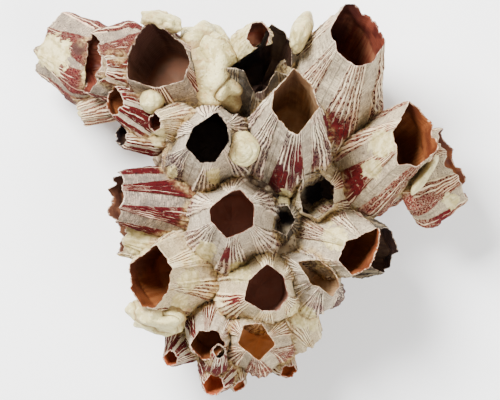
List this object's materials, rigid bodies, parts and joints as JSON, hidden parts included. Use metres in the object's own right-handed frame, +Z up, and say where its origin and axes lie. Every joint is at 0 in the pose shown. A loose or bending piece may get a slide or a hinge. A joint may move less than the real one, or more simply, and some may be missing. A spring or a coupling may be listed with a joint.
{
  "type": "barnacle cluster",
  "caption": "Cluster of grown-together acorn barnacle shells on a crust cut off flat, to stand on a shelf or table.",
  "frame": {"origin": "middle of the flat cut under the crust", "axes": "+Z up, square to the cut and towards the picture's camera; +X the picture's right; +Y the picture's top"},
  "size_m": [0.1515, 0.1358, 0.0811],
  "materials": {
    "shell": "chalky ribbed barnacle plates, ivory and grey, with maroon and purple-brown stripes",
    "encrusted": "smooth to lumpy cream growth, greenish-yellow tints, matt",
    "crust": "tan and grey shell cement, rough, with old plates in it"
  },
  "bodies": {
    "root": {"barnacle_upper_left": "shell", "barnacle_upper_right": "shell", "barnacle_right": "shell", "barnacle_lower_left": "shell", "barnacle_left": "shell", "barnacle_left_under": "shell", "barnacle_far_right": "shell", "barnacle_upper_middle": "shell", "barnacle_tall": "shell", "barnacle_centre": "shell", "barnacle_lower_middle": "shell", "barnacle_lower_right": "shell", "barnacle_bottom": "shell", "barnacle_pit": "shell", "barnacle_pit_left": "shell", "barnacle_broken_top": "shell", "barnacle_dome": "shell", "barnacle_broken_low": "shell", "barnacle_dark_fragment": "shell", "barnacle_tip_second": "shell", "barnacle_far_tip": "shell", "barnacle_tip_small": "shell", "barnacle_tip_under": "shell", "barnacle_small_top": "shell", "barnacle_small_inner": "shell", "barnacle_small_low": "shell", "barnacle_small_under": "shell", "barnacle_bottom_left": "shell", "barnacle_bottom_tip": "shell", "barnacle_small_low_left": "shell", "barnacle_small_low_right": "shell", "barnacle_smooth_low_right": "shell", "barnacle_tiny_lip": "shell", "barnacle_pink_tip": "shell", "crust_cream_mass": "encrusted", "crust_cap": "encrusted", "crust_round_boss": "encrusted", "crust_white_disc": "encrusted", "crust_lower_left": "encrusted", "crust_sliver": "encrusted", "crust_tongue_plate": "encrusted", "crust_base": "crust"}
  },
  "joints": []
}
